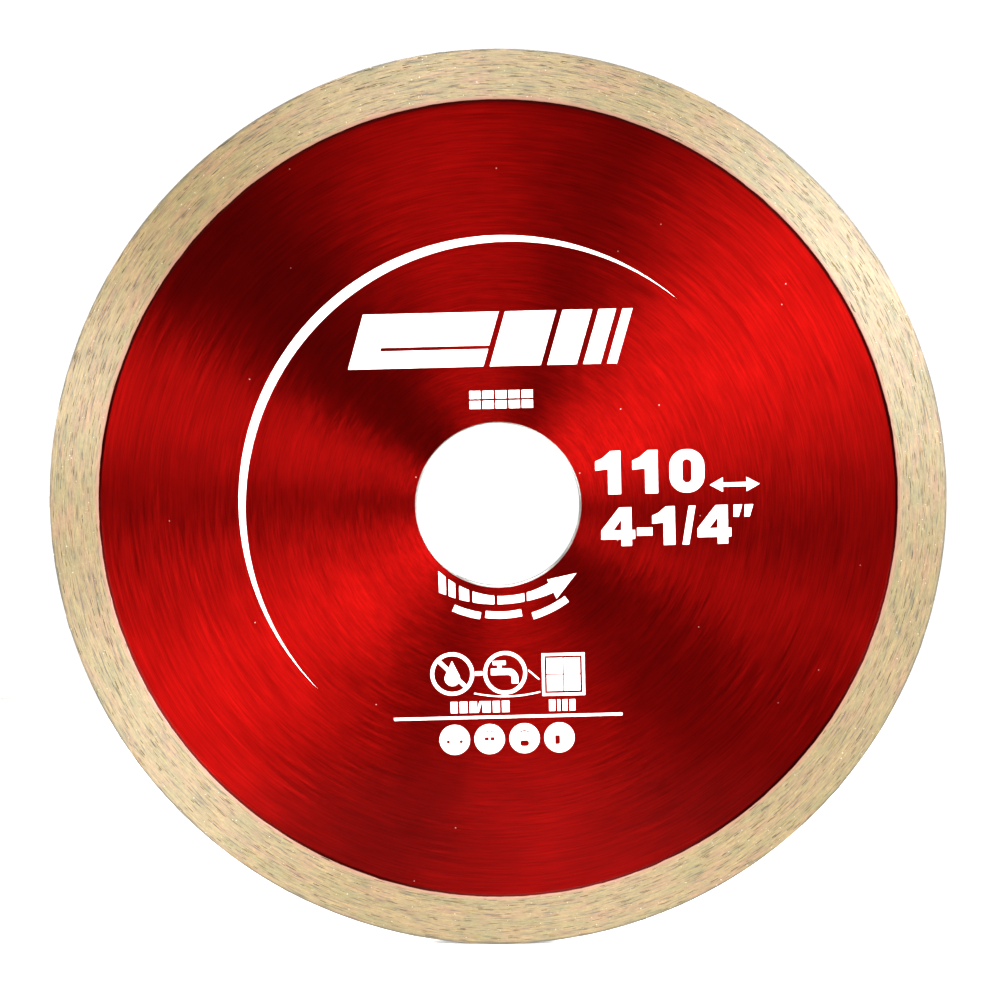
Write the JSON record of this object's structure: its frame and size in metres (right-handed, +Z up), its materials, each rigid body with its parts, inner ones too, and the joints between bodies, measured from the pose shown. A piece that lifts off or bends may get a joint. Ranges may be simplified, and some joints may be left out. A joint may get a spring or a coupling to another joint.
{
  "type": "diamond blade",
  "caption": "Thin round tile-cutting blade: lacquered steel disc with an arbor bore, inside a continuous sintered diamond rim.",
  "frame": {"origin": "centre of the arbor bore, midway through the steel core", "axes": "+Y is the spin axis, pointing out of the plain back face; the printed face looks towards -Y; +Z is up on the print"},
  "size_m": [0.11, 0.002, 0.11],
  "materials": {
    "core_steel": "circular brushed",
    "sintered_bond": "sintered and ground",
    "diamond": "rough crystal",
    "red_lacquer": "translucent gloss over brushed steel",
    "white_ink": "screen printed"
  },
  "bodies": {
    "root": {"steel_core": "core_steel", "diamond_rim": "sintered_bond", "diamond_grit": "diamond", "front_lacquer": "red_lacquer", "back_lacquer": "red_lacquer", "swoosh_mark": "white_ink", "name_panel": "white_ink", "type_mark": "white_ink", "size_number_metric": "white_ink", "size_number_inch": "white_ink", "rotation_arrow": "white_ink", "speed_bars": "white_ink", "dry_use_icon": "white_ink", "wet_use_icon": "white_ink", "tile_icon": "white_ink", "hose_line": "white_ink", "caption_bars": "white_ink", "divider_line": "white_ink", "safety_discs": "white_ink"}
  },
  "joints": []
}
